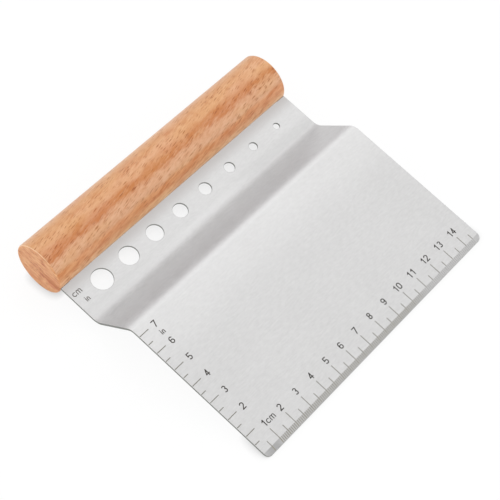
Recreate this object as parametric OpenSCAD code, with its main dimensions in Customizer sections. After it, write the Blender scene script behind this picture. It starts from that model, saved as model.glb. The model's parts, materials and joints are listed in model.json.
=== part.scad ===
// Dough scraper: a bent stainless steel sheet glued into the slot of a round beech handle,
// with a row of holes near the handle and centimetre scales printed on its face.
// It lies as it does on a table, face up: the scraping edge and the handle both touch z = 0.
// +X runs along the handle, +Y from the scraping edge to the handle, and the origin is the
// middle of the outline on the table.

/* [Blade sheet] */
// Thickness of the steel sheet
sheet_t = 1; // [0.8:0.1:1.6]
// Depth of the flat blade, from the scraping edge to the step
blade_depth = 77.5; // [60:0.5:110]
// Run of the sloped step, seen square to the blade
step_run = 16.3; // [13:0.1:24]
// Height of the step, from the blade down to the strip
step_drop = 20.2; // [12:0.1:24]
// Depth of the flat strip, from the step to the handle
strip_depth = 21.7; // [20:0.1:40]
// Inside radius of both bends
bend_r = 4; // [2:0.5:6]
// Radius of the two corners of the scraping edge
corner_r = 2.5; // [1:0.1:6]

/* [Scraping edge] */
// Width of the ground bevel
bevel_w = 2.65; // [1.5:0.05:5]
// Thickness left at the scraping edge
edge_t = 0.3; // [0.2:0.05:0.6]

/* [Row of holes] */
// Number of holes
hole_count = 8; // [2:1:8]
// Diameter of the first and largest hole
first_hole_d = 10.3; // [9:0.1:14]
// How much smaller each hole is than the one before it
hole_d_drop = 1; // [0.2:0.05:1.1]
// Distance of the first centre from the left side of the sheet
first_hole_inset = 16.4; // [12:0.1:20]
// Distance of the last centre from the right side of the sheet
last_hole_inset = 15.35; // [10:0.05:20]
// Distance of the row from the step
hole_row = 12.9; // [10:0.1:13.5]

/* [Handle] */
// Length of the handle
handle_l = 150; // [125:0.5:220]
// How far the handle reaches past each side of the sheet
handle_over = 0.5; // [0:0.1:10]
// Diameter of the handle
handle_d = 26; // [22:0.5:36]
// Radius of the rounded rims at both ends
rim_r = 0.8; // [0.4:0.1:3]
// Depth of the sawn slot, from the surface of the handle
slot_depth = 14; // [9:0.5:16]

/* [Tang and glue] */
// Layer of glue on each face of the tang
glue_t = 0.1; // [0.05:0.01:0.3]
// Glue left between the end of the tang and the bottom of the slot
glue_end = 0.5; // [0.2:0.1:2]
// How far each side of the tang is cut back from the side of the sheet
tang_inset = 5; // [2:0.5:15]
// Gap between the shoulders of the tang and the handle
shoulder_gap = 0.05; // [0.02:0.01:0.2]

/* [Printed scales] */
// Length of one unit of both scales
scale_pitch = 10; // [10:1:20]
// Number of fine divisions in one unit
fine_count = 10; // [2:1:10]
// Thickness of the printed ink
ink_t = 0.05; // [0.02:0.01:0.1]
// Width of the long and half lines
line_w = 0.35; // [0.2:0.05:0.6]
// Width of the fine lines on the bevel
fine_w = 0.25; // [0.1:0.05:0.3]
// Length of the long lines of the edge scale
edge_long = 5.5; // [3:0.1:8]
// Length of the half lines of the edge scale
edge_half = 2.75; // [1:0.05:4]
// Length of the long lines of the side scale
side_long = 5.4; // [3:0.1:6]
// Length of the half lines of the side scale
side_half = 2.9; // [1:0.1:4]
// Clear space between a line and the side or the scraping edge
line_gap = 0.3; // [0.1:0.05:1]
// Clear space between the end of the edge scale and the right side of the sheet
scale_end_gap = 3; // [2:0.1:6]

/* [Printed figures] */
// Height of the figures
figure_h = 3.2; // [2:0.1:4]
// Width of one figure
figure_w = 2; // [1.4:0.1:2.4]
// Width of the strokes of the figures
stroke_w = 0.42; // [0.2:0.02:0.5]
// Width of the strokes of the unit marks
letter_stroke_w = 0.34; // [0.2:0.02:0.4]
// Clear space between two figures of one number
figure_gap = 0.35; // [0.2:0.05:1]
// Height of the small letters of the unit marks
letter_h = 2.1; // [1.4:0.1:2.4]
// Clear space between the long lines and the figures of the edge scale
figure_lift = 1.55; // [0.5:0.05:3]
// Distance of the side scale's figures from the side of the sheet
side_figure_inset = 9.1; // [7:0.1:12]
// Distance of the strip's unit marks from the side of the sheet
mark_inset = 1.3; // [0.8:0.1:3]
// Height of the strip's upper mark above the row of holes
mark_lift = 1.7; // [0:0.1:4]
// Distance between the baselines of the strip's two unit marks
mark_step = 5; // [3.5:0.1:6]

/* [Hidden] */
$fn = 64;

// One overrun for every cut
over = 1;
// Radius of the lower bowl of a 3 or an 8, as a share of the figure's height
low_bowl_share = 0.29;
// Radius of the arches of an n or m, as a share of the letter's height
arch_share = 0.35;
// Height of the unit mark in beside the letters of cm, as a share of their height
small_mark_share = 0.85;
// Ends of the straight strokes, as shares of the figure's width and height
one_shares = [[0.65, 0], [0.65, 1], [0.2, 0.78]];
two_foot_shares = [[0, 0], [1, 0]];
four_shares = [[0.7, 0], [0.7, 1], [0, 0.28], [1, 0.28]];
five_shares = [[0.95, 1], [0.14, 1], [0.08, 0.5]];
seven_shares = [[0, 1], [1, 1], [0.33, 0]];
// Angles at which the open curves of the figures and letters start and end
two_span = [-38, 165];
three_span = [-90, 150];
five_span = [-150, 130];
six_span = [25, 180];
c_span = [42, 318];

steel = [0.80, 0.80, 0.79];
beech = [0.83, 0.60, 0.42];
filler = [0.72, 0.47, 0.30];
ink = [0.33, 0.29, 0.26];
resin = [0.86, 0.74, 0.52];

// Width of the sheet, and the distance between two neighbouring holes
sheet_w = handle_l - 2 * handle_over;
hole_pitch = (sheet_w - first_hole_inset - last_hole_inset) / (hole_count - 1);

// Shape of the step
step_a = atan2(step_drop, step_run);
outer_r = bend_r + sheet_t;
flat_end_y = blade_depth - outer_r * tan(step_a / 2);

// Places across the sheet, before it is laid down: y from the scraping edge, z from the blade's face
handle_r = handle_d / 2;
strip_end_y = blade_depth + step_run + strip_depth;
axis_y = strip_end_y + handle_r;
strip_z = -step_drop;
axis_z = strip_z - sheet_t / 2;
slot_end_y = strip_end_y + slot_depth;
slot_t = sheet_t + 2 * glue_t;
tang_w = sheet_w - 2 * tang_inset;
tang_end_y = slot_end_y - glue_end;
hole_y = blade_depth + step_run + hole_row;
left_x = -sheet_w / 2;

// How far the sheet is tipped so that the edge and the handle both touch the table
reach_l = norm([axis_y, axis_z + sheet_t]);
rest_a = atan2(-axis_z - sheet_t, axis_y) + asin(handle_r / reach_l);
back_y = sqrt(reach_l * reach_l - handle_r * handle_r) + handle_r;
front_y = -edge_t * sin(rest_a);

// Slope and length of the ground bevel
bevel_a = atan2(sheet_t - edge_t, bevel_w);
bevel_l = norm([bevel_w, sheet_t - edge_t]);

// Counts of the half units that fit on each scale
edge_halves = floor(2 * (sheet_w - scale_end_gap) / scale_pitch);
side_halves = floor(2 * (flat_end_y - bevel_w - line_w) / scale_pitch);
figure_y = bevel_w + edge_long + figure_lift;

// Round parts of the figures
bowl_r = figure_w / 2;
bowl_line_r = bowl_r - stroke_w / 2;
top_bowl_y = figure_h - bowl_r;
low_bowl_r = low_bowl_share * figure_h;
high_bowl_r = (figure_h + stroke_w) / 2 - low_bowl_r;

// Lays the flat-drawn scraper down on the table
module lay_down() {
    translate([0, -(back_y + front_y) / 2, 0])
        rotate([rest_a, 0, 0])
            translate([0, 0, sheet_t])
                children();
}

// Everything below the bent line of one face of the sheet, seen from its left side, from
// one end to the other. The line falls at the step, where its first corner is rounded off
// and its second is filled in.
module below_face(crest_r, foot_r, from_y, to_y, depth) {
    crest = [blade_depth, 0];
    foot = [blade_depth + step_run, -step_drop];
    down = [cos(step_a), -sin(step_a)];
    crest_l = crest_r * tan(step_a / 2);
    foot_l = foot_r * tan(step_a / 2);
    difference() {
        polygon([[from_y, 0], crest, foot, [to_y, -step_drop], [to_y, -depth], [from_y, -depth]]);
        difference() {
            polygon([crest - [crest_l, 0], crest + [0, crest_l], crest + crest_l * down]);
            translate(crest - [crest_l, crest_r])
                circle(r = crest_r);
        }
    }
    difference() {
        polygon([foot - foot_l * down, foot + [foot_l, 0], foot - [0, sheet_t / 2]]);
        translate(foot + [foot_l, foot_r])
            circle(r = foot_r);
    }
}

// The sheet seen from its left side, with the ground bevel at the left
module sheet_section() {
    depth = step_drop + 2 * sheet_t;
    difference() {
        below_face(outer_r, bend_r, 0, tang_end_y, depth);
        translate([-sheet_t * tan(step_a / 2), -sheet_t])
            below_face(bend_r, outer_r, -over, tang_end_y + sheet_t + over, depth);
        polygon([[bevel_w, 0], [bevel_w, over], [-over, over], [-over, edge_t - sheet_t], [0, edge_t - sheet_t]]);
    }
}

// What is cut away to round one corner of the scraping edge
module corner_cut() {
    difference() {
        translate([-over, -over, -sheet_t - over])
            cube([corner_r + over, corner_r + over, sheet_t + 2 * over]);
        translate([corner_r, corner_r, -sheet_t - 2 * over])
            cylinder(r = corner_r, h = sheet_t + 4 * over);
    }
}

module hole_row_cuts() {
    for (i = [0 : hole_count - 1])
        translate([left_x + first_hole_inset + i * hole_pitch, hole_y, strip_z - sheet_t - over])
            cylinder(d = first_hole_d - i * hole_d_drop, h = sheet_t + 2 * over);
}

// Bent sheet with bevel, round corners, holes and tang
module blade() {
    color(steel)
        lay_down()
            difference() {
                translate([left_x, 0, 0])
                    rotate([90, 0, 90])
                        linear_extrude(height = sheet_w)
                            sheet_section();
                for (side = [0, 1])
                    mirror([side, 0, 0])
                        translate([left_x, 0, 0])
                            corner_cut();
                for (side = [0, 1])
                    mirror([side, 0, 0])
                        translate([left_x - over, strip_end_y - shoulder_gap, strip_z - sheet_t - over])
                            cube([tang_inset + over, slot_depth + over, sheet_t + 2 * over]);
                hole_row_cuts();
            }
}

// Solid dowel with rounded end rims, lying along X around its own axis
module dowel() {
    rotate([0, 90, 0])
        rotate_extrude($fn = 96)
            for (side = [0, 1])
                mirror([0, side])
                    union() {
                        square([handle_r - rim_r, handle_l / 2]);
                        square([handle_r, handle_l / 2 - rim_r]);
                        translate([handle_r - rim_r, handle_l / 2 - rim_r])
                            circle(r = rim_r);
                    }
}

// Block of the slot's depth and width between two places along the handle
module slot_block(from_x, to_x, extra) {
    translate([from_x, -handle_r - extra, -slot_t / 2])
        cube([to_x - from_x, slot_depth + extra, slot_t]);
}

module to_handle_axis() {
    lay_down()
        translate([0, axis_y, axis_z])
            children();
}

// Round handle with a saw slot along its whole length
module handle() {
    color(beech)
        to_handle_axis()
            difference() {
                dowel();
                slot_block(-handle_l / 2 - over, handle_l / 2 + over, over);
            }
}

// Glue on both faces and behind the end of the tang
module glue() {
    color(resin)
        lay_down()
            difference() {
                translate([-tang_w / 2, strip_end_y + shoulder_gap, axis_z - slot_t / 2])
                    cube([tang_w, slot_depth - shoulder_gap, slot_t]);
                translate([-tang_w / 2 - over, strip_end_y - over, strip_z - sheet_t])
                    cube([tang_w + 2 * over, slot_depth - glue_end + over, sheet_t]);
            }
}

// Wood-coloured filler that closes one end of the slot, flush with the dowel
module slot_filler(side) {
    color(filler)
        to_handle_axis()
            mirror([side, 0, 0])
                intersection() {
                    dowel();
                    slot_block(-handle_l / 2 - over, -tang_w / 2, over);
                }
}

module slot_filler_left() {
    slot_filler(0);
}

module slot_filler_right() {
    slot_filler(1);
}

// Upright line of the edge scale at a distance from the left side
module upright(at, low, high, w) {
    translate([left_x + at - w / 2, low])
        square([w, high - low]);
}

// Long and half lines of the edge scale on the flat face
module edge_scale_lines() {
    color(ink)
        lay_down()
            linear_extrude(height = ink_t)
                for (i = [1 : edge_halves])
                    upright(i * scale_pitch / 2, bevel_w,
                            bevel_w + (i % 2 == 0 ? edge_long : edge_half), line_w);
}

// The same lines carried on down the bevel, with the fine divisions between them
module bevel_scale_lines() {
    color(ink)
        lay_down()
            translate([0, bevel_w, 0])
                rotate([bevel_a, 0, 0])
                    linear_extrude(height = ink_t)
                        for (i = [1 : floor(edge_halves * fine_count / 2)])
                            if (i % (fine_count / 2) == 0)
                                upright(i * scale_pitch / fine_count, -bevel_l + line_gap, 0, line_w);
                            else if (i > fine_count)
                                upright(i * scale_pitch / fine_count, -bevel_l + line_gap, 0, fine_w);
}

// Long and half lines of the side scale
module side_scale_lines() {
    color(ink)
        lay_down()
            linear_extrude(height = ink_t)
                for (i = [1 : side_halves])
                    translate([left_x + line_gap, bevel_w + i * scale_pitch / 2 - line_w / 2])
                        square([i % 2 == 0 ? side_long - line_gap : side_half - line_gap, line_w]);
}

// Part of a ring of stroke width w, between two angles
module arc(r, span, w) {
    steps = 6;
    intersection() {
        difference() {
            circle(r = r, $fn = 48);
            circle(r = r - w, $fn = 48);
        }
        polygon(concat([[0, 0]], [for (i = [0 : steps])
            let (a = span[0] + i * (span[1] - span[0]) / steps)
            2 * r * [cos(a), sin(a)]]));
    }
}

module ring(r, w) {
    difference() {
        circle(r = r, $fn = 48);
        circle(r = r - w, $fn = 48);
    }
}

// Straight stroke of width w between two points, carried on by half its width at both ends
module stroke(from, to, w) {
    along = (to - from) / norm(to - from) * w / 2;
    side = [-along[1], along[0]];
    polygon([from - along - side, to + along - side, to + along + side, from - along + side]);
}

// Point of a figure, from shares of its width and height, kept half a stroke inside its box
function spot(share) = [stroke_w / 2 + share[0] * (figure_w - stroke_w),
                        stroke_w / 2 + share[1] * (figure_h - stroke_w)];

// Strokes that join the points of a list one after the other
module strokes(shares) {
    for (i = [1 : len(shares) - 1])
        stroke(spot(shares[i - 1]), spot(shares[i]), stroke_w);
}

module figure_0() {
    translate([bowl_r, top_bowl_y])
        arc(bowl_r, [0, 180], stroke_w);
    translate([bowl_r, bowl_r])
        arc(bowl_r, [180, 360], stroke_w);
    for (x = [stroke_w / 2, figure_w - stroke_w / 2])
        stroke([x, bowl_r], [x, top_bowl_y], stroke_w);
}

module figure_1() {
    strokes(one_shares);
}

module figure_2() {
    translate([bowl_r, top_bowl_y])
        arc(bowl_r, two_span, stroke_w);
    stroke(spot(two_foot_shares[0]), [bowl_r, top_bowl_y] + bowl_line_r * [cos(two_span[0]), sin(two_span[0])],
           stroke_w);
    strokes(two_foot_shares);
}

module figure_3() {
    translate([bowl_r, figure_h - high_bowl_r])
        arc(high_bowl_r, three_span, stroke_w);
    translate([bowl_r, low_bowl_r])
        arc(low_bowl_r, [-three_span[1], -three_span[0]], stroke_w);
}

module figure_4() {
    strokes(four_shares);
}

module figure_5() {
    strokes(five_shares);
    translate([bowl_r, bowl_r])
        arc(bowl_r, five_span, stroke_w);
}

module figure_6() {
    translate([bowl_r, bowl_r])
        ring(bowl_r, stroke_w);
    translate([bowl_r, top_bowl_y])
        arc(bowl_r, six_span, stroke_w);
    stroke([stroke_w / 2, bowl_r], [stroke_w / 2, top_bowl_y], stroke_w);
}

module figure_7() {
    strokes(seven_shares);
}

module figure_8() {
    translate([bowl_r, low_bowl_r])
        ring(low_bowl_r, stroke_w);
    translate([bowl_r, figure_h - high_bowl_r])
        ring(high_bowl_r, stroke_w);
}

module figure_9() {
    translate([figure_w, figure_h])
        rotate(180)
            figure_6();
}

module figure(n) {
    if (n == 0) figure_0();
    if (n == 1) figure_1();
    if (n == 2) figure_2();
    if (n == 3) figure_3();
    if (n == 4) figure_4();
    if (n == 5) figure_5();
    if (n == 6) figure_6();
    if (n == 7) figure_7();
    if (n == 8) figure_8();
    if (n == 9) figure_9();
}

// Number of one or two figures, centred across its place
module number(n) {
    if (n < 10)
        translate([-figure_w / 2, 0])
            figure(n);
    else {
        translate([-figure_w - figure_gap / 2, 0])
            figure(floor(n / 10));
        translate([figure_gap / 2, 0])
            figure(n % 10);
    }
}

// Letters, from their height
function arch_r(h) = arch_share * h;
function m_w(h) = 4 * arch_r(h) - letter_stroke_w;
function n_w(h) = 2 * arch_r(h);
function c_w(h) = h / 2 * (1 + cos(c_span[0]));
function cm_w(h) = c_w(h) + figure_gap + m_w(h);
function in_w(h) = letter_stroke_w + figure_gap + n_w(h);

module arch(h) {
    r = arch_r(h);
    translate([r, h - r])
        arc(r, [0, 180], letter_stroke_w);
    for (x = [letter_stroke_w / 2, 2 * r - letter_stroke_w / 2])
        stroke([x, letter_stroke_w / 2], [x, h - r], letter_stroke_w);
}

module unit_cm(h) {
    translate([h / 2, h / 2])
        arc(h / 2, c_span, letter_stroke_w);
    for (i = [0, 1])
        translate([c_w(h) + figure_gap + i * (n_w(h) - letter_stroke_w), 0])
            arch(h);
}

module unit_in(h) {
    square([letter_stroke_w, h]);
    translate([0, h + letter_stroke_w])
        square(letter_stroke_w);
    translate([letter_stroke_w + figure_gap, 0])
        arch(h);
}

// Numbers of the edge scale, with the unit after the first one
module edge_scale_figures() {
    color(ink)
        lay_down()
            translate([left_x, figure_y, 0])
                linear_extrude(height = ink_t) {
                    for (i = [1 : floor(edge_halves / 2)])
                        translate([i * scale_pitch, 0])
                            number(i);
                    translate([scale_pitch + figure_w / 2 + figure_gap / 2, 0])
                        unit_cm(letter_h);
                }
}

// Numbers of the side scale from 2 up, with a small unit mark below the last one
module side_scale_figures() {
    last = floor(side_halves / 2);
    mark_h = small_mark_share * letter_h;
    color(ink)
        lay_down()
            translate([left_x + side_figure_inset, bevel_w, 0])
                linear_extrude(height = ink_t) {
                    for (i = [2 : last])
                        translate([0, i * scale_pitch - figure_h / 2])
                            number(i);
                    translate([-in_w(mark_h) / 2, last * scale_pitch - scale_pitch / 2 - mark_h / 2])
                        unit_in(mark_h);
                }
}

// The two unit marks on the strip, beside the largest hole
module strip_unit_marks() {
    mark_h = small_mark_share * letter_h;
    color(ink)
        lay_down()
            translate([left_x + mark_inset, hole_y + mark_lift, strip_z])
                linear_extrude(height = ink_t) {
                    unit_cm(letter_h);
                    translate([cm_w(letter_h) - in_w(mark_h), -mark_step])
                        unit_in(mark_h);
                }
}

blade();
handle();
glue();
slot_filler_left();
slot_filler_right();
edge_scale_lines();
bevel_scale_lines();
edge_scale_figures();
side_scale_lines();
side_scale_figures();
strip_unit_marks();
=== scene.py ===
import json
import math

import bmesh
import bpy
from mathutils import Matrix, Quaternion, Vector
from mathutils.geometry import delaunay_2d_cdt


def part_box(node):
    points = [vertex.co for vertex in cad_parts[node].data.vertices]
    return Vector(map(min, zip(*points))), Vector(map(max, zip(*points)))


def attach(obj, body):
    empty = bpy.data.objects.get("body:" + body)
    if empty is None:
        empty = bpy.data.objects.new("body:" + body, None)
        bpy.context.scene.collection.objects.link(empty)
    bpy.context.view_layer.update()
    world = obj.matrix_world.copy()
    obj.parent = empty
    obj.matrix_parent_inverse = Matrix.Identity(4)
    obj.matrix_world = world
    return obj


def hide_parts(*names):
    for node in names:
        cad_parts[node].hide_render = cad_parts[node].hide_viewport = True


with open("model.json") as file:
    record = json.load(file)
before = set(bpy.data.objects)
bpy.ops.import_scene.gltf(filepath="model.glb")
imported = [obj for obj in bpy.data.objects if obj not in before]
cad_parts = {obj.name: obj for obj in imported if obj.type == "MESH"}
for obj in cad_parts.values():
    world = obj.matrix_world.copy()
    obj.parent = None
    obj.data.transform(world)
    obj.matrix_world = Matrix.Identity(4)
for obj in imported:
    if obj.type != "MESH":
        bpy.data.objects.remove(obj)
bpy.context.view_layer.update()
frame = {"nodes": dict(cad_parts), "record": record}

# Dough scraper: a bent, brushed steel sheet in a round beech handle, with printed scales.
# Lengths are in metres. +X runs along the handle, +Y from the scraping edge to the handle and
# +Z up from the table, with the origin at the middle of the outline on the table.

MM = 0.001

# Bent sheet, as in the CAD source but for the wider bend at the step's foot
SHEET_T = 1.0 * MM
BLADE_DEPTH = 77.5 * MM
STEP_RUN = 16.3 * MM
STEP_DROP = 20.2 * MM
STRIP_DEPTH = 21.7 * MM
BEND_R = 4.0 * MM
FOOT_R = 6.0 * MM
CORNER_R = 2.5 * MM
BEVEL_W = 2.65 * MM
EDGE_T = 0.3 * MM
TANG_INSET = 5.0 * MM
SHOULDER_GAP = 0.05 * MM
DEBUR_R = 0.1 * MM
# Fineness of its mesh, and half the width of the short faces that keep a crease crisp
BEND_STEPS = 14
CORNER_STEPS = 10
HOLE_STEPS = 64
DEBUR_STEPS = 3
SPRING_STEPS = 10
FADE_STEPS = 10
CREASE = 0.04 * MM
# Shading of its printed face: where it starts to lean on the way to the crest, how far it leans
# there and on the strip, how late it starts to turn in each bend, early where negative, and the
# length it turns over
SPRING_S = 50 * MM
SPRING_TILT = math.radians(8.0)
STRIP_TILT = math.radians(3.0)
CREST_LAG = 0.9 * MM
CREST_FADE = 12.0 * MM
FOOT_LAG = -1.0 * MM
FOOT_FADE = 10.6 * MM

# Handle, its slot, and the fineness of its mesh
RIM_R = 0.8 * MM
SLOT_DEPTH = 14.0 * MM
GLUE_T = 0.1 * MM
GLUE_END = 0.5 * MM
TURN_STEPS = 192
RIM_STEPS = 8
# How far the slot's cutter reaches past the wood, the least angle of an edge that stays sharp,
# and how much large faces lead the shading of small ones, 50 being not at all
OVER = 1.0 * MM
SHARP_A = math.radians(40)
FACE_WEIGHT = 100

# Camera, at the photograph's viewing angle
CAMERA_AT = Vector((-299.7, -242.63, 523.67)) * MM
LOOKS_AT = Vector((-5.18, -1.83, 10.0)) * MM
ROLL = math.radians(1.68)
LENS = 105.0
SENSOR = 36.0

# Range that most of a noise's values lie in
NOISE_RANGE = (0.3, 0.7)

# Factors on the steel's colour, from the sheet's left side at 0 to its right side at 1, on the
# ground bevel, and on a line along the step's foot where they are painted shade that dims the
# soft box's reflection there
BEVEL_SHADE = [(0.0, 0.84), (0.027, 0.675), (0.05, 0.69), (0.066, 0.8), (0.65, 0.8), (0.77, 0.86)]
FOOT_SHADE = [(0.0, 0.93), (0.3, 0.94), (0.4, 0.97), (0.6, 0.965), (0.76, 0.87)]
# Lengths along the sheet between which the painted shade at the step's foot comes, and between
# which it goes
FOOT_SHADE_FROM = (104.3 * MM, 105.7 * MM)
FOOT_SHADE_TO = (107.0 * MM, 111.0 * MM)
# Darkest and lightest steel on the faces and on the cut edges, and the darker steel beside the
# slot, painted shade of the handle there, with the length over which it sets in
FACE_STEEL = ((0.66, 0.658, 0.656), (0.79, 0.79, 0.788))
CUT_STEEL = ((0.22, 0.225, 0.21), (0.36, 0.365, 0.345))
NECK_SHADE_STEEL = (0.57, 0.55, 0.54)
NECK_SHADE_FADE = 8.0 * MM

# Grain of the handle, in millimetres
FIBRE_SLOPE = math.radians(13)
LAYERS_FACE = (0.0, 0.98, 0.17)
LAYER_W = 9.3
# How strongly the growth layers show, from the side at the sheet at 0 to the far side at 1
BAND_REACH = [(0.0, 0.1), (0.11, 0.2), (0.19, 0.04), (0.33, 0.64), (0.5, 0.7), (0.8, 0.18)]
# Painted light on the beech's side towards the sheet, standing in for light that the steel throws
# up on it: the two places between which each change comes in, in millimetres from the handle's
# axis and negative towards the sheet, and its factor on the colour
SIDE_PAINTED_LIGHT = [(-4.8, -6.5, (1.06, 1.11, 1.14)), (-9.0, -10.2, (1.04, 0.895, 0.72)),
              (-11.6, -12.9, (1.2, 1.42, 1.5))]
# Palest and deepest wood, each on the far side and on the side at the sheet
WOOD_PALE = ((0.735, 0.395, 0.183), (0.74, 0.40, 0.227))
WOOD_DEEP = ((0.56, 0.195, 0.04), (0.57, 0.195, 0.055))
# Palest and deepest wood on the sawn ends, the painted highlight on their rounded rim, and the
# stain beside the slot
END_WOOD = ((0.87, 0.465, 0.205), (0.61, 0.175, 0.045))
RIM_HIGHLIGHT = (0.96, 0.66, 0.42)
STAIN = (0.50, 0.105, 0.008)
# Factors of the rays and of the pith's specks on the wood's colour
RAY_TONE = (0.58, 0.36, 0.13)
PITH_TONE = (0.62, 0.32, 0.18)
# How much of the painted highlight on the rim and of the stain shows
RIM_HIGHLIGHT_SHARE = 0.75
STAIN_SHARE = 0.92
# Darkest and lightest filler and glue, and the filler away from the slot's mouth
FILLER = ((0.50, 0.17, 0.05), (0.62, 0.25, 0.09))
FILLER_INNER = (0.76, 0.38, 0.18)
GLUE = ((0.60, 0.42, 0.22), (0.70, 0.52, 0.30))

# Darkest and lightest colour of each print
INKS = {
    "edge_scale_figures": ((0.012, 0.010, 0.008), (0.036, 0.029, 0.022)),
    "side_scale_figures": ((0.018, 0.014, 0.010), (0.045, 0.036, 0.026)),
    "strip_unit_marks": ((0.065, 0.055, 0.045), (0.12, 0.105, 0.09)),
    "edge_scale_lines": ((0.235, 0.225, 0.195), (0.305, 0.295, 0.265)),
    "side_scale_lines": ((0.17, 0.165, 0.135), (0.235, 0.23, 0.195)),
    "bevel_scale_lines": ((0.255, 0.235, 0.185), (0.335, 0.315, 0.25)),
}
# The print that is worn toward the right, where its wear begins and is full, and its colour there
WORN_PRINT = "bevel_scale_lines"
WORN_X = (24 * MM, 36 * MM)
WORN_INK = (0.46, 0.455, 0.445)

# Studio light
TENT_TOP = (0.1, -0.1, 0.97)
TENT_SPAN = (-0.6, 1.0)
TENT_LIGHT = (0.97, 1.03)
SOFT_BOX = (0.46, 0.49, 0.74)
BOX_SPAN = (0.82, 1.0)
DARK_WALL = (0.4, 0.9, -0.35)
WALL_SPAN = (0.4, 0.95)
OPEN_LIGHT = (0.845, 0.84, 0.84)
BOX_LIGHT = (1.48, 1.48, 1.48)
WALL_LIGHT = (0.40, 0.36, 0.375)
LAMP_AT = (0.55, 0.6, 0.95)
LAMP_SIZE = 0.45
LAMP_WATTS = 1.2

# Table: half its size, its grey to bounced light, the share of its white that glows, and how far
# and how much the shadows beside and under the scraper take of that glow
TABLE_HALF = 4.0
TABLE_GREY = 0.8
FLOOR_GLOW = 0.9
CONTACT_REACH = 4 * MM
CONTACT_LEFT = 0.5
UNDER_REACH = 20 * MM
UNDER_OPEN = (0.08, 0.19)
UNDER_LEFT = 0.84
SHADOW_SAMPLES = 16

# Places that follow from the frame
BLADE_LOW, BLADE_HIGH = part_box("blade")
HANDLE_LOW, HANDLE_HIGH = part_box("handle")
SHEET_W = BLADE_HIGH.x - BLADE_LOW.x
HANDLE_R = (HANDLE_HIGH.z - HANDLE_LOW.z) / 2
HANDLE_L = HANDLE_HIGH.x - HANDLE_LOW.x
HANDLE_AXIS = (HANDLE_LOW + HANDLE_HIGH) / 2
HOLES = [m for m in frame["record"]["mounts"] if m["kind"] == "bore"]
SHEET_UP = Vector(HOLES[0]["axis"])
REST_A = math.atan2(-SHEET_UP.y, SHEET_UP.z)

# Shape of the step
STEP_A = math.atan2(STEP_DROP, STEP_RUN)
OUTER_R = BEND_R + SHEET_T
CREST_L = OUTER_R * math.tan(STEP_A / 2)
FOOT_L = FOOT_R * math.tan(STEP_A / 2)
STRIP_END_Y = BLADE_DEPTH + STEP_RUN + STRIP_DEPTH
TANG_END_Y = STRIP_END_Y + SLOT_DEPTH - GLUE_END

# Stretches of the printed face from the scraping edge to the end of the tang: the length of
# each and how far it turns, downwards where positive
STRETCHES = [
    (BLADE_DEPTH - CREST_L, 0.0),
    (OUTER_R * STEP_A, STEP_A),
    (math.hypot(STEP_RUN, STEP_DROP) - CREST_L - FOOT_L, 0.0),
    (FOOT_R * STEP_A, -STEP_A),
    (TANG_END_Y - BLADE_DEPTH - STEP_RUN - FOOT_L, 0.0),
]
SHEET_L = sum(length for length, turn in STRETCHES)
CREST_S = STRETCHES[0][0]
FOOT_S = CREST_S + STRETCHES[1][0] + STRETCHES[2][0]
BEVEL_A = math.atan2(SHEET_T - EDGE_T, BEVEL_W)
SHOULDER_S = SHEET_L - (TANG_END_Y - STRIP_END_Y) - SHOULDER_GAP


def turned(y, z):
    """Direction drawn square to the sheet's side, turned the way the scraper lies on the table."""
    return Matrix.Rotation(REST_A, 3, "X") @ Vector((0, y, z))


FRONT = HANDLE_AXIS - turned(STRIP_END_Y + HANDLE_R, SHEET_T / 2 - STEP_DROP)


def bend_at(s):
    """Place and downward slope of the bent face at a length s from the scraping edge."""
    y, z, a, left = 0.0, 0.0, 0.0, s
    for length, turn in STRETCHES:
        step = min(left, length)
        if turn:
            swing = turn * step / length
            r = length / turn
            y += r * (math.sin(a + swing) - math.sin(a))
            z += r * (math.cos(a + swing) - math.cos(a))
            a += swing
        else:
            y += step * math.cos(a)
            z -= step * math.sin(a)
        left -= step
        if left <= 0:
            break
    return y, z, a


def sheet_point(x, s, depth):
    """Point at a length s along the bent face and a depth below it."""
    y, z, a = bend_at(s)
    place = FRONT + turned(y - depth * math.sin(a), z - depth * math.cos(a) + SHEET_T)
    return place + Vector((x, 0, 0))


def sheet_axes(s):
    """Directions along the face, away from the scraping edge, and square out of it."""
    a = bend_at(s)[2]
    return turned(math.cos(a), -math.sin(a)), turned(math.sin(a), math.cos(a))


def ground_away(s):
    """Depth that the bevel takes off the face at a length s from the scraping edge."""
    return max(0.0, (BEVEL_W - s) / BEVEL_W * (SHEET_T - EDGE_T))


# Node trees

def add(tree, kind, inputs=None, **settings):
    """New node, with its settings and its inputs, each a value or another node's output."""
    made = tree.nodes.new(kind)
    for name, value in settings.items():
        setattr(made, name, value)
    for name, value in (inputs or {}).items():
        if isinstance(value, bpy.types.NodeSocket):
            tree.links.new(value, made.inputs[name])
        else:
            made.inputs[name].default_value = value
    return made


def math_node(tree, operation, a, b=0.0, clamp=False):
    """Result of an operation on two numbers, held between 0 and 1 where clamped."""
    made = add(tree, "ShaderNodeMath", {0: a, 1: b}, operation=operation, use_clamp=clamp)
    return made.outputs[0]


def vector_node(tree, operation, a, b=(0, 0, 0)):
    """Result of an operation on two vectors."""
    made = add(tree, "ShaderNodeVectorMath", {0: a, 1: b}, operation=operation)
    return made.outputs["Value" if operation in ("DOT_PRODUCT", "LENGTH") else "Vector"]


def parts_of(tree, vector):
    """The vector's X, Y and Z."""
    return add(tree, "ShaderNodeSeparateXYZ", {"Vector": vector}).outputs


def vector_of(tree, x, y, z=0.0):
    """Vector of its three parts."""
    return add(tree, "ShaderNodeCombineXYZ", {"X": x, "Y": y, "Z": z}).outputs[0]


def ramp(tree, fac, stops):
    """Colours, or greys that are one number each, between places from 0 to 1."""
    made = add(tree, "ShaderNodeValToRGB", {"Fac": fac})
    elements = made.color_ramp.elements
    while len(elements) < len(stops):
        elements.new(0.5)
    for element, (place, colour) in zip(elements, stops):
        element.position = place
        element.color = (*colour, 1) if isinstance(colour, tuple) else (colour, colour, colour, 1)
    return made.outputs["Color"]


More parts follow.
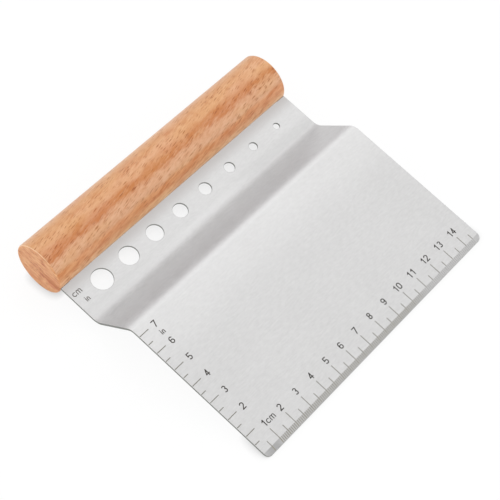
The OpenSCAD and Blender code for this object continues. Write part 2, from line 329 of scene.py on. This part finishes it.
def level(tree, fac, low, high, out_low=0.0, out_high=1.0):
    """fac from low to high, taken to out_low to out_high and held there beyond."""
    made = add(tree, "ShaderNodeMapRange", {"Value": fac, "From Min": low, "From Max": high,
                                            "To Min": out_low, "To Max": out_high})
    return made.outputs["Result"]


def scaled(tree, vector, scale, place=(0, 0, 0)):
    """The vector scaled and then moved."""
    made = add(tree, "ShaderNodeMapping", {"Vector": vector, "Location": place, "Scale": scale})
    return made.outputs["Vector"]


def noise(tree, vector, scale, detail, rough, place=(0, 0, 0)):
    """Noise with about so many swings in each direction's unit of length."""
    made = add(tree, "ShaderNodeTexNoise", {"Vector": scaled(tree, vector, scale, place), "Scale": 1.0,
                                            "Detail": detail, "Roughness": rough})
    return made.outputs["Fac"]


def sway(tree, fac, low, high):
    """Noise taken to low to high over the range that most of it lies in."""
    return level(tree, fac, *NOISE_RANGE, low, high)


def two_tone(tree, fac, dark, light):
    """Noise taken to two colours over the range that most of it lies in."""
    return ramp(tree, fac, list(zip(NOISE_RANGE, (dark, light))))


def mix(tree, fac, a, b, blend="MIX"):
    """Colour a with a share of colour b."""
    made = add(tree, "ShaderNodeMix", data_type="RGBA", blend_type=blend)
    for socket, value in ((made.inputs[0], fac), (made.inputs[6], a), (made.inputs[7], b)):
        if isinstance(value, bpy.types.NodeSocket):
            tree.links.new(value, socket)
        else:
            socket.default_value = (*value, 1) if isinstance(value, tuple) else value
    return made.outputs[2]


def new_material(name):
    """Material with an empty node tree."""
    made = bpy.data.materials.new(name)
    made.use_nodes = True
    made.node_tree.nodes.clear()
    return made, made.node_tree


def surface(tree, inputs):
    """Gives a material its shader."""
    shader = add(tree, "ShaderNodeBsdfPrincipled", inputs)
    add(tree, "ShaderNodeOutputMaterial", {"Surface": shader.outputs[0]})


# Materials

def steel_material():
    """Stainless steel with fine brushing along the handle, darker on the ground bevel, with painted
    shade along the step's foot and beside the slot. The map's U runs across the brushing and its V
    along it."""
    made, tree = new_material("brushed_steel")
    flat = add(tree, "ShaderNodeUVMap", uv_map="sheet").outputs["UV"]
    short = noise(tree, flat, (1500, 320, 1), 2, 0.6)
    long = noise(tree, flat, (2200, 50, 1), 3, 0.6, (7, 3, 0))
    mottle = noise(tree, flat, (520, 340, 1), 3, 0.65, (4, 1, 0))
    cloud = noise(tree, flat, (60, 40, 1), 2, 0.5, (2, 9, 0))
    streak = math_node(tree, "ADD", math_node(tree, "MULTIPLY", short, 0.65),
                       math_node(tree, "MULTIPLY", long, 0.35))
    tone = math_node(tree, "ADD", sway(tree, streak, -0.31, 0.31), sway(tree, cloud, -0.08, 0.08))
    tone = math_node(tree, "ADD", tone, sway(tree, mottle, 0.35, 0.65))
    grey = mix(tree, tone, *FACE_STEEL)
    place = parts_of(tree, flat)
    across = place["X"]
    # Painted shade of the handle on the strip beside the slot
    neck_shade = add(tree, "ShaderNodeMapRange", {"Value": across, "From Min": SHOULDER_S - NECK_SHADE_FADE,
                                            "From Max": SHOULDER_S}, interpolation_type="SMOOTHSTEP")
    grey = mix(tree, neck_shade.outputs["Result"], grey, NECK_SHADE_STEEL)
    side = level(tree, place["Y"], -SHEET_W / 2, SHEET_W / 2)
    ground = level(tree, across, BEVEL_W - CREASE, BEVEL_W + CREASE, 1, 0)
    grey = mix(tree, ground, grey, ramp(tree, side, BEVEL_SHADE), "MULTIPLY")
    # Painted shade along the step's foot, dimming the soft box's reflection there
    foot = math_node(tree, "MULTIPLY", level(tree, across, *FOOT_SHADE_FROM),
                     level(tree, across, *FOOT_SHADE_TO, 1, 0))
    grey = mix(tree, foot, grey, ramp(tree, side, FOOT_SHADE), "MULTIPLY")
    rough = sway(tree, streak, 0.37, 0.47)
    bump = add(tree, "ShaderNodeBump", {"Height": streak, "Strength": 0.12, "Distance": 0.00002})
    tangent = add(tree, "ShaderNodeTangent", direction_type="UV_MAP", uv_map="sheet").outputs[0]
    surface(tree, {"Base Color": grey, "Metallic": 0.92, "Roughness": rough, "Anisotropic": 0.7,
                   "Tangent": tangent, "Normal": bump.outputs[0]})
    return made


def cut_steel_material():
    """Sheared edge of the sheet and walls of the holes, darker and rougher than the faces."""
    made, tree = new_material("cut_steel")
    solid = add(tree, "ShaderNodeTexCoord").outputs["Object"]
    torn = noise(tree, solid, (2400, 2400, 700), 3, 0.6)
    grey = two_tone(tree, torn, *CUT_STEEL)
    rough = sway(tree, torn, 0.45, 0.65)
    bump = add(tree, "ShaderNodeBump", {"Height": torn, "Strength": 0.4, "Distance": 0.00003})
    surface(tree, {"Base Color": grey, "Metallic": 1.0, "Roughness": rough, "Normal": bump.outputs[0]})
    return made


def handle_place(tree):
    """Place in the handle's own frame in millimetres, whole and as its three parts: along it,
    away from the sheet and up out of the sheet's face."""
    solid = add(tree, "ShaderNodeTexCoord").outputs["Object"]
    moved = scaled(tree, solid, Vector((1, 1, 1)) / MM, -HANDLE_AXIS / MM)
    mm = add(tree, "ShaderNodeMapping", {"Vector": moved, "Rotation": (-REST_A, 0, 0)}).outputs[0]
    return mm, parts_of(tree, mm)


def beech_material():
    """Steamed beech: growth layers along the handle, with darker streaks and short dark rays
    that cross them at a slight slope, sawn ends, painted light on the side towards the sheet and a
    painted highlight on the rounded rim of the ends."""
    made, tree = new_material("steamed_beech")
    mm, part = handle_place(tree)
    off_middle = math_node(tree, "ABSOLUTE", part["X"])
    end = math_node(tree, "GREATER_THAN", off_middle, (HANDLE_L - RIM_R) / 2 / MM)
    fibre = mix(tree, end, round_side(tree, part), end_grain(tree, part))
    streak = noise(tree, fibre, (0.2, 1.3, 1), 3, 0.65, (1, 4, 2))
    wood = mix(tree, end, side_wood(tree, mm, part, fibre, streak), sawn_end(tree, fibre))
    rays = all_rays(tree, mm, fibre)
    wood = mix(tree, rays, wood, RAY_TONE, "MULTIPLY")
    # Painted highlight on the rounded rim of the ends
    rim_highlight = math_node(tree, "MULTIPLY", rim_highlight_mask(tree, part), RIM_HIGHLIGHT_SHARE)
    wood = mix(tree, rim_highlight, wood, RIM_HIGHLIGHT)
    stain = math_node(tree, "MULTIPLY", stain_mask(tree, part, streak), end)
    wood = mix(tree, math_node(tree, "MULTIPLY", stain, STAIN_SHARE), wood, STAIN)
    pith = math_node(tree, "MULTIPLY", pith_marks(tree, part), end)
    wood = mix(tree, pith, wood, PITH_TONE, "MULTIPLY")
    height = math_node(tree, "SUBTRACT", math_node(tree, "MULTIPLY", streak, 0.4), rays)
    bump = add(tree, "ShaderNodeBump", {"Height": height, "Strength": 0.35, "Distance": 0.00004})
    surface(tree, {"Base Color": wood, "Roughness": level(tree, rays, 0, 1, 0.5, 0.62),
                   "Sheen Weight": level(tree, end, 0, 1, 0.35, 0.1), "Sheen Roughness": 0.5,
                   "Normal": bump.outputs[0]})
    return made


def side_wood(tree, mm, part, fibre, streak):
    """Colour of the handle's round side, a little pinker towards the sheet, with painted light from the
    steel on the side at the sheet.
    """
    blush = level(tree, noise(tree, mm, (0.05, 0.14, 0.14), 1, 0.5, (9, 9, 9)), 0.35, 0.65, -0.4, 0.4)
    blush = math_node(tree, "ADD", blush, level(tree, part["Y"], -6, 6, 1, 0), clamp=True)
    pale = mix(tree, blush, *WOOD_PALE)
    deep = mix(tree, blush, *WOOD_DEEP)
    wood = mix(tree, side_grain(tree, mm, part, fibre, streak), pale, deep)
    # Painted light from the steel on the side towards the sheet
    for start, full, tone in SIDE_PAINTED_LIGHT:
        wood = mix(tree, level(tree, part["Y"], start, full), wood, tone, "MULTIPLY")
    return wood


def side_grain(tree, mm, part, fibre, streak):
    """How deep the wood of the round side is: growth layers, flames, streaks and fine lines."""
    drift = noise(tree, mm, (0.045, 0.14, 0.14), 2, 0.6)
    layer = vector_node(tree, "DOT_PRODUCT", mm, LAYERS_FACE)
    layer = math_node(tree, "ADD", layer, sway(tree, drift, -1.9, 1.9))
    layer = math_node(tree, "ADD", layer, sway(tree, streak, -1.5, 1.5))
    wave = math_node(tree, "COSINE", math_node(tree, "MULTIPLY", layer, 2 * math.pi / LAYER_W))
    patch = noise(tree, fibre, (0.07, 0.3, 1), 2, 0.6, (2, 8, 3))
    reach = ramp(tree, level(tree, part["Y"], -HANDLE_R / MM, HANDLE_R / MM), BAND_REACH)
    strength = math_node(tree, "MULTIPLY", reach, level(tree, patch, 0.35, 0.65, 0.65, 1.25))
    deep = math_node(tree, "MULTIPLY", level(tree, wave, -0.7, 0.9), strength)
    flame = noise(tree, fibre, (0.09, 0.42, 1), 3, 0.6, (5, 0, 0))
    flame = math_node(tree, "MULTIPLY", level(tree, flame, 0.35, 0.65, -0.2, 0.8),
                      level(tree, part["Y"], -10.0, -8.5, 0.75, 0.31))
    deep = math_node(tree, "ADD", deep, flame)
    deep = math_node(tree, "ADD", deep, sway(tree, streak, -0.15, 0.32))
    fine = noise(tree, fibre, (0.7, 4.0, 1), 2, 0.6, (3, 1, 6))
    return math_node(tree, "ADD", deep, sway(tree, fine, -0.14, 0.19), clamp=True)


def sawn_end(tree, place):
    """Colour of the sawn ends: streaks in line with the slot and deeper blotches."""
    streak = noise(tree, place, (0.2, 1.1, 1), 3, 0.65, (3, 1, 4))
    blotch = noise(tree, place, (0.16, 0.28, 1), 2, 0.5, (6, 2, 1))
    deep = math_node(tree, "ADD", level(tree, streak, 0.35, 0.65, -0.12, 0.6),
                     level(tree, blotch, 0.37, 0.63, 0, 0.42), clamp=True)
    return mix(tree, deep, *END_WOOD)


def pith_marks(tree, part):
    """1 on a few small dark specks near the middle of the handle's ends."""
    place = vector_of(tree, part["Y"], part["Z"])
    middle = vector_node(tree, "LENGTH", place)
    specks = noise(tree, place, (0.55, 0.9, 1), 1, 0.5, (3, 5, 0))
    return math_node(tree, "MULTIPLY", level(tree, specks, 0.56, 0.66), level(tree, middle, 3, 7, 1, 0))


def stain_mask(tree, part, streak):
    """1 beside the slot at the handle's ends, mostly below it, where the filler has soaked in."""
    wave = noise(tree, vector_of(tree, part["Y"], 0.0), (0.35, 0.35, 0.35), 2, 0.5)
    away = math_node(tree, "ADD", part["Z"], sway(tree, wave, -0.2, 1.4))
    share = math_node(tree, "DIVIDE", math_node(tree, "ABSOLUTE", away), sway(tree, streak, 1.7, 3.3))
    near = level(tree, share, 0.4, 1, 1, 0)
    return math_node(tree, "MULTIPLY", near, level(tree, part["Y"], -1.5, 1.0, 1, 0))


def round_side(tree, part):
    """Place on the dowel's round side: millimetres along the sloping fibre and across it."""
    angle = math_node(tree, "ARCTAN2", part["Z"], part["Y"])
    rolled = vector_of(tree, part["X"], math_node(tree, "MULTIPLY", angle, HANDLE_R / MM))
    return add(tree, "ShaderNodeMapping", {"Vector": rolled, "Rotation": (0, 0, FIBRE_SLOPE)}).outputs[0]


def end_grain(tree, part):
    """Place on the dowel's ends, where the grain shows as fine streaks in line with the slot."""
    return vector_of(tree, part["Y"], part["Z"], 7.0)


def rim_highlight_mask(tree, part):
    """Painted highlight: 1 on the upper arc of the rounded rim of the two ends, where light catches
    it, and less on the rest of that rim.
    """
    end = math_node(tree, "ABSOLUTE", part["X"])
    radius = vector_node(tree, "LENGTH", vector_of(tree, part["Y"], part["Z"]))
    both = math_node(tree, "ADD", math_node(tree, "SUBTRACT", end, (HANDLE_L / 2 - RIM_R) / MM),
                     math_node(tree, "SUBTRACT", radius, (HANDLE_R - RIM_R) / MM))
    upper = level(tree, math_node(tree, "ADD", part["Y"], part["Z"]), 3, 13, 0.15, 1)
    return math_node(tree, "MULTIPLY", level(tree, both, 1.3 * RIM_R / MM, 1.4 * RIM_R / MM), upper)


def all_rays(tree, mm, fibre):
    """Long and short rays on lines that waver, denser in some places than in others."""
    wobble = add(tree, "ShaderNodeTexNoise", {"Vector": scaled(tree, fibre, (0.12, 0.3, 1)), "Detail": 1.0,
                                              "Scale": 1.0}).outputs["Color"]
    bent = vector_node(tree, "ADD", fibre, vector_node(tree, "MULTIPLY", wobble, (2.0, 1.0, 0)))
    rays = math_node(tree, "MAXIMUM", ray_marks(tree, bent, (0.16, 1.0, 1), 0.42),
                     ray_marks(tree, bent, (0.24, 1.7, 1), 0.4))
    crowd = noise(tree, mm, (0.06, 0.2, 0.2), 2, 0.5, (4, 4, 4))
    return math_node(tree, "MULTIPLY", rays, level(tree, crowd, 0.35, 0.6, 0.4, 1.0))


def ray_marks(tree, place, scale, share):
    """Short thin dashes along the fibre, in about a share of the cells of that scale."""
    cells = add(tree, "ShaderNodeTexVoronoi", {"Vector": scaled(tree, place, scale), "Scale": 1.0},
                voronoi_dimensions="2D")
    chance = add(tree, "ShaderNodeSeparateColor", {"Color": cells.outputs["Color"]}).outputs[0]
    shape = level(tree, cells.outputs["Distance"], 0.12, 0.3, 1, 0)
    return math_node(tree, "MULTIPLY", shape, level(tree, chance, 1 - share - 0.15, 1 - share + 0.35))


def filler_material():
    """Wood-coloured filler with a sanded grain, darker than the beech at the slot's mouth."""
    made, tree = new_material("wood_filler")
    mm, part = handle_place(tree)
    grain = noise(tree, mm, (0.9, 0.9, 0.9), 3, 0.6)
    brown = mix(tree, level(tree, grain, 0.35, 0.65), *FILLER)
    brown = mix(tree, level(tree, part["Y"], -9, -2, 0, 0.7), brown, FILLER_INNER)
    bump = add(tree, "ShaderNodeBump", {"Height": grain, "Strength": 0.3, "Distance": 0.00003})
    surface(tree, {"Base Color": brown, "Roughness": 0.6, "Normal": bump.outputs[0]})
    return made


def glue_material():
    """Hard amber resin, a little cloudy."""
    made, tree = new_material("amber_glue")
    solid = add(tree, "ShaderNodeTexCoord").outputs["Object"]
    cloud = noise(tree, solid, (300, 300, 300), 2, 0.5)
    surface(tree, {"Base Color": two_tone(tree, cloud, *GLUE), "Roughness": 0.3})
    return made


def ink_material(name, dark, light, worn=False):
    """Printed or etched marks, a little uneven, and if asked worn away toward the right side."""
    made, tree = new_material(name)
    solid = add(tree, "ShaderNodeTexCoord").outputs["Object"]
    wear = noise(tree, solid, (1500, 1500, 1500), 3, 0.6)
    tint = two_tone(tree, wear, dark, light)
    if worn:
        tint = mix(tree, level(tree, parts_of(tree, solid)["X"], *WORN_X), tint, WORN_INK)
    bump = add(tree, "ShaderNodeBump", {"Height": wear, "Strength": 0.2, "Distance": 0.00001})
    surface(tree, {"Base Color": tint, "Roughness": 0.55, "Normal": bump.outputs[0]})
    return made


# Blade

def arc_points(x, s, r, start, end, steps):
    """Points on an arc about (x, s), from one angle to another, both included."""
    angles = [start + (end - start) * i / steps for i in range(steps + 1)]
    return [Vector((x + r * math.cos(a), s + r * math.sin(a))) for a in angles]


def cross_lines():
    """Lengths along the sheet at which its face gets a line of vertices from side to side."""
    lines = [BEVEL_W - CREASE, BEVEL_W + CREASE]
    lines += [SPRING_S + (CREST_S - SPRING_S) * i / SPRING_STEPS for i in range(SPRING_STEPS)]
    fades = [(CREST_S + CREST_LAG, CREST_FADE), (FOOT_S + FOOT_LAG, FOOT_FADE)]
    at = 0.0
    for length, turn in STRETCHES:
        if turn:
            start, fade = fades.pop(0)
            lines.append(at - CREASE)
            lines += [at + length * i / BEND_STEPS for i in range(BEND_STEPS + 1)]
            rest = start + fade - at - length
            lines += [at + length + rest * i / FADE_STEPS for i in range(1, FADE_STEPS + 1)]
        at += length
    return lines


def sheet_outline():
    """The sheet's outline, unbent, anticlockwise from the right end of the scraping edge, and
    the pairs of its points that a line across the face joins."""
    half = SHEET_W / 2
    tang = half - TANG_INSET
    lines = cross_lines()
    right = arc_points(half - CORNER_R, CORNER_R, CORNER_R, -math.pi / 2, 0, CORNER_STEPS)
    first = len(right)
    right += [Vector((half, s)) for s in lines]
    right += [Vector((half, SHOULDER_S)), Vector((tang, SHOULDER_S)), Vector((tang, SHEET_L))]
    left = [Vector((-p.x, p.y)) for p in reversed(right)]
    last = len(right) + len(left) - 1
    return right + left, [(i, last - i) for i in range(first, first + len(lines))]


def hole_outlines():
    """Clockwise circles of the holes, unbent, from the record's bores."""
    loops = []
    for hole in HOLES:
        at = Vector(hole["pos_m"]) - sheet_point(0, SHOULDER_S, 0)
        along = SHOULDER_S + at.dot(SHEET_UP.cross(Vector((1, 0, 0))))
        r = hole["dims"]["r_mm"] * MM
        loops.append(arc_points(hole["pos_m"][0], along, r, 2 * math.pi, 0, HOLE_STEPS)[:-1])
    return loops


def inset(loop, by):
    """The loop moved towards the material, which lies on its left."""
    moved = []
    for i, p in enumerate(loop):
        before = (p - loop[i - 1]).normalized()
        after = (loop[(i + 1) % len(loop)] - p).normalized()
        n1 = Vector((-before.y, before.x))
        n2 = Vector((-after.y, after.x))
        middle = (n1 + n2).normalized()
        moved.append(p + middle * (by / middle.dot(n1)))
    return moved


def inside(loop, p):
    """Whether p lies in a loop, by the crossings of a line to its right."""
    hit = False
    for i, a in enumerate(loop):
        b = loop[i - 1]
        if (a.y > p.y) != (b.y > p.y) and p.x < a.x + (b.x - a.x) * (p.y - a.y) / (b.y - a.y):
            hit = not hit
    return hit


def face_triangles(loops, lines):
    """Triangles over the first loop and outside the others, with an edge along each line."""
    points, edges = [], list(lines)
    for loop in loops:
        start = len(points)
        points += loop
        edges += [(start + i, start + (i + 1) % len(loop)) for i in range(len(loop))]
    out, _, triangles, origin, _, _ = delaunay_2d_cdt(points, edges, [], 0, 1e-9)
    if len(out) != len(points):
        raise RuntimeError("the sheet's outline crosses itself")
    number = [o[0] for o in origin]
    kept = []
    for t in triangles:
        centre = sum((out[i] for i in t), Vector((0, 0))) / 3
        if inside(loops[0], centre) and not any(inside(hole, centre) for hole in loops[1:]):
            kept.append([number[i] for i in t])
    return kept


def smooth_step(share):
    """Share from 0 to 1 with a soft start and end."""
    share = min(max(share, 0.0), 1.0)
    return share * share * (3 - 2 * share)


def face_tilt(s):
    """How far the printed face leans beyond its bend, away from the scraping edge: back on the
    bevel, a little forward where the sheet springs into its step, and slowly through its bends."""
    if s < BEVEL_W:
        return -BEVEL_A
    if s < CREST_S + CREST_LAG:
        lean = SPRING_TILT * smooth_step((s - SPRING_S) / (CREST_S - SPRING_S))
        return lean - bend_at(s)[2]
    if s < FOOT_S:
        left = max(0.0, 1 - (s - CREST_S - CREST_LAG) / CREST_FADE)
        return SPRING_TILT + (STEP_A - SPRING_TILT) * (1 - left * left) - bend_at(s)[2]
    done = smooth_step((s - FOOT_S - FOOT_LAG) / FOOT_FADE)
    return STEP_A + (STRIP_TILT - STEP_A) * done - bend_at(s)[2]


def edge_layers():
    """Rings from the top face round a slightly rounded edge to the underside: how far each
    turns from its face, how far it drops from it, and whether that face is the underside."""
    turns = [math.pi / 2 * i / DEBUR_STEPS for i in range(DEBUR_STEPS + 1)]
    top = [(a, DEBUR_R * (1 - math.cos(a)), False) for a in turns]
    return top + [(a, drop, True) for a, drop, below in reversed(top)]


def rim_point(p, q, a, drop, below):
    """Point of the rim between p on the outline and q on the face inside it, its place on the
    unbent sheet, and its shading normal."""
    at = p.lerp(q, 1 - math.sin(a))
    s = max(at.y, 0.0)
    along, up = sheet_axes(s)
    tilt = 0.0 if below else face_tilt(s)
    face = -up if below else up * math.cos(tilt) + along * math.sin(tilt)
    out = (p - q).normalized()
    sideways = Vector((out.x, 0, 0)) + along * out.y
    depth = SHEET_T - drop if below else ground_away(s) + drop
    normal = (face * math.cos(a) + sideways * math.sin(a)).normalized()
    return sheet_point(at.x, s, depth), (at.y, at.x), normal


def rim_rings(mesh, loop, low, flat, normals):
    """Vertices of an outline's rim in rings from the top face to the underside. Their places on
    the unbent sheet and their normals go into flat and normals."""
    rings = []
    for layer in edge_layers():
        ring = []
        for p, q in zip(loop, low):
            place, unbent, normal = rim_point(p, q, *layer)
            ring.append(mesh.verts.new(place))
            flat[ring[-1]] = unbent
            normals.append(normal)
        rings.append(ring)
    return rings


def join_rings(mesh, rings):
    """Cut edge between the rings of one outline."""
    for upper, lower in zip(rings, rings[1:]):
        for i in range(len(upper)):
            rim = mesh.faces.new((upper[i - 1], lower[i - 1], lower[i], upper[i]))
            rim.material_index = 1


def build_blade():
    """Bent sheet with a ground bevel, round corners, eight holes and slightly rounded edges."""
    outline, lines = sheet_outline()
    loops = [outline, *hole_outlines()]
    inner = [inset(loop, DEBUR_R) for loop in loops]
    mesh = bmesh.new()
    uv = mesh.loops.layers.uv.new("sheet")
    flat, normals = {}, []
    top, bottom = [], []
    for loop, low in zip(loops, inner):
        rings = rim_rings(mesh, loop, low, flat, normals)
        join_rings(mesh, rings)
        top += rings[0]
        bottom += rings[-1]
    for a, b, c in face_triangles(inner, lines):
        mesh.faces.new((top[a], top[b], top[c]))
        mesh.faces.new((bottom[c], bottom[b], bottom[a]))
    for face in mesh.faces:
        face.smooth = True
        for corner in face.loops:
            corner[uv].uv = flat[corner.vert]
    made = link_mesh("sheet_steel", mesh)
    made.data.normals_split_custom_set_from_vertices(normals)
    return made


def link_mesh(name, mesh):
    """Object from a bmesh."""
    data = bpy.data.meshes.new(name)
    mesh.to_mesh(data)
    mesh.free()
    made = bpy.data.objects.new(name, data)
    bpy.context.scene.collection.objects.link(made)
    return made


# Handle

def handle_outline():
    """Half of the dowel's outline, (x, radius) from the middle of one end to that of the other."""
    half = [Vector((HANDLE_L / 2, 0)), Vector((HANDLE_L / 2, HANDLE_R - RIM_R - CREASE))]
    half += arc_points(HANDLE_L / 2 - RIM_R, HANDLE_R - RIM_R, RIM_R, 0, math.pi / 2, RIM_STEPS)
    half.append(Vector((HANDLE_L / 2 - RIM_R - CREASE, HANDLE_R)))
    return half + [Vector((-p.x, p.y)) for p in reversed(half)]


def turned_dowel():
    """Mesh of the dowel without its slot, along X about the origin."""
    mesh = bmesh.new()
    rings = []
    for p in handle_outline():
        steps = TURN_STEPS if p.y else 1
        angles = [2 * math.pi * i / steps for i in range(steps)]
        rings.append([mesh.verts.new((p.x, p.y * math.cos(a), p.y * math.sin(a))) for a in angles])
    for one, two in zip(rings, rings[1:]):
        for i in range(TURN_STEPS):
            corners = [one[(i - 1) % len(one)], one[i % len(one)]]
            corners += [two[i % len(two)], two[(i - 1) % len(two)]]
            mesh.faces.new(list(dict.fromkeys(corners)))
    bmesh.ops.recalc_face_normals(mesh, faces=mesh.faces[:])
    return mesh


def cut_slot(made, lie):
    """Saws the slot into the handle, which has been moved by lie."""
    size = (HANDLE_L + 2 * OVER, SLOT_DEPTH + OVER, SHEET_T + 2 * GLUE_T)
    middle = Matrix.Translation((0, (SLOT_DEPTH - OVER) / 2 - HANDLE_R, 0))
    slot = bmesh.new()
    bmesh.ops.create_cube(slot, size=1)
    slot.transform(lie @ middle @ Matrix.Diagonal((*size, 1)))
    cutter = link_mesh("slot_cutter", slot)
    cut = made.modifiers.new("slot", "BOOLEAN")
    cut.object = cutter
    cut.solver = "EXACT"
    keep_result(made)
    bpy.data.objects.remove(cutter)


def build_handle():
    """Turned dowel with rounded rims and the saw slot that the sheet goes into."""
    lie = Matrix.Translation(HANDLE_AXIS) @ Matrix.Rotation(REST_A, 4, "X")
    mesh = turned_dowel()
    mesh.transform(lie)
    made = link_mesh("turned_handle", mesh)
    cut_slot(made, lie)
    made.data.shade_smooth()
    made.data.set_sharp_from_angle(angle=SHARP_A)
    leading = made.modifiers.new("normals", "WEIGHTED_NORMAL")
    leading.keep_sharp = True
    leading.weight = FACE_WEIGHT
    keep_result(made)
    return made


def keep_result(made):
    """Takes what an object's modifiers make as its mesh and drops them."""
    graph = bpy.context.evaluated_depsgraph_get()
    result = bpy.data.meshes.new_from_object(made.evaluated_get(graph))
    made.modifiers.clear()
    made.data = result


# Studio

def make_camera():
    """Camera at the photograph's place."""
    made = bpy.data.objects.new("camera", bpy.data.cameras.new("camera"))
    made.data.lens = LENS
    made.data.sensor_width = SENSOR
    made.data.clip_start = 10 * MM
    made.rotation_mode = "QUATERNION"
    made.location = CAMERA_AT
    made.rotation_quaternion = (LOOKS_AT - CAMERA_AT).to_track_quat("-Z", "Y") @ Quaternion((0, 0, 1), ROLL)
    bpy.context.scene.collection.objects.link(made)
    bpy.context.scene.camera = made


def toward(tree, direction, place, low, high):
    """Share that rises smoothly from 0 to 1 towards one direction of the surroundings."""
    axis = Vector(direction).normalized()
    near = vector_node(tree, "DOT_PRODUCT", place, axis)
    made = add(tree, "ShaderNodeMapRange", {"Value": near, "From Min": low, "From Max": high},
               interpolation_type="SMOOTHSTEP")
    return made.outputs["Result"]


def make_world():
    """White to the camera, with a soft box that metal shows and an even tent that lights the rest."""
    world = bpy.data.worlds.new("tent")
    world.use_nodes = True
    tree = world.node_tree
    tree.nodes.clear()
    path = add(tree, "ShaderNodeLightPath").outputs
    place = add(tree, "ShaderNodeTexCoord").outputs["Generated"]
    tent = level(tree, toward(tree, TENT_TOP, place, *TENT_SPAN), 0, 1, *TENT_LIGHT)
    box = mix(tree, toward(tree, SOFT_BOX, place, *BOX_SPAN), OPEN_LIGHT, BOX_LIGHT)
    mirrored = mix(tree, toward(tree, DARK_WALL, place, *WALL_SPAN), box, WALL_LIGHT)
    metal = mix(tree, path["Is Glossy Ray"], tent, mirrored)
    open_view = math_node(tree, "MAXIMUM", path["Is Camera Ray"], path["Is Transmission Ray"])
    seen = mix(tree, open_view, metal, (1.0, 1.0, 1.0))
    sky = add(tree, "ShaderNodeBackground", {"Color": seen, "Strength": 1.0})
    add(tree, "ShaderNodeOutputWorld", {"Surface": sky.outputs[0]})
    bpy.context.scene.world = world


def make_lamp(name, at, size, watts):
    """Round lamp that shines at the origin and doesn't show in the steel."""
    data = bpy.data.lights.new(name, "AREA")
    data.shape = "DISK"
    data.size = size
    data.energy = watts
    made = bpy.data.objects.new(name, data)
    made.location = at
    made.rotation_mode = "QUATERNION"
    made.rotation_quaternion = (-Vector(at)).to_track_quat("-Z", "Y")
    made.visible_glossy = False
    bpy.context.scene.collection.objects.link(made)


def make_floor():
    """White table that shows only a soft shadow to the camera."""
    mesh = bmesh.new()
    bmesh.ops.create_grid(mesh, x_segments=1, y_segments=1, size=TABLE_HALF)
    table = link_mesh("table", mesh)
    table.data.materials.append(table_material())


def table_material():
    """Matt grey to bounced light and nearly white to the camera, less so beside the scraper."""
    made, tree = new_material("white_table")
    path = add(tree, "ShaderNodeLightPath").outputs
    matt = add(tree, "ShaderNodeBsdfDiffuse", {"Color": (TABLE_GREY, TABLE_GREY, TABLE_GREY, 1)})
    share = 1 - FLOOR_GLOW
    shaded = add(tree, "ShaderNodeBsdfDiffuse", {"Color": (share, share, share, 1)})
    beside = level(tree, open_above(tree, CONTACT_REACH), 0, 1, CONTACT_LEFT * FLOOR_GLOW, FLOOR_GLOW)
    under = level(tree, open_above(tree, UNDER_REACH), *UNDER_OPEN, UNDER_LEFT, 1)
    strength = math_node(tree, "MULTIPLY", beside, under)
    glow = add(tree, "ShaderNodeEmission", {"Color": (1, 1, 1, 1), "Strength": strength})
    lifted = add(tree, "ShaderNodeAddShader", {0: shaded.outputs[0], 1: glow.outputs[0]})
    mirrored = math_node(tree, "MAXIMUM", path["Is Glossy Ray"], path["Is Transmission Ray"])
    seen = math_node(tree, "MAXIMUM", path["Is Camera Ray"], mirrored)
    both = add(tree, "ShaderNodeMixShader", {0: seen, 1: matt.outputs[0], 2: lifted.outputs[0]})
    add(tree, "ShaderNodeOutputMaterial", {"Surface": both.outputs[0]})
    return made


def open_above(tree, reach):
    """Share of the space over the table within a reach that nothing takes up."""
    return add(tree, "ShaderNodeAmbientOcclusion", {"Distance": reach}, samples=SHADOW_SAMPLES).outputs["AO"]


def dress(node, material):
    """Gives a node of the frame its material."""
    data = frame["nodes"][node].data
    data.materials.clear()
    data.materials.append(material)


make_camera()
make_world()
make_lamp("key", LAMP_AT, LAMP_SIZE, LAMP_WATTS)
make_floor()
bpy.context.scene.view_settings.view_transform = "Standard"

blade = build_blade()
blade.data.materials.append(steel_material())
blade.data.materials.append(cut_steel_material())
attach(blade, "root")
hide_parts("blade")

handle = build_handle()
handle.data.materials.append(beech_material())
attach(handle, "root")
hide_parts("handle")
handle.visible_glossy = False

filler = filler_material()
for node in ("slot_filler_left", "slot_filler_right"):
    dress(node, filler)
dress("glue", glue_material())
for node, (dark, light) in INKS.items():
    dress(node, ink_material(node + "_ink", dark, light, node == WORN_PRINT))
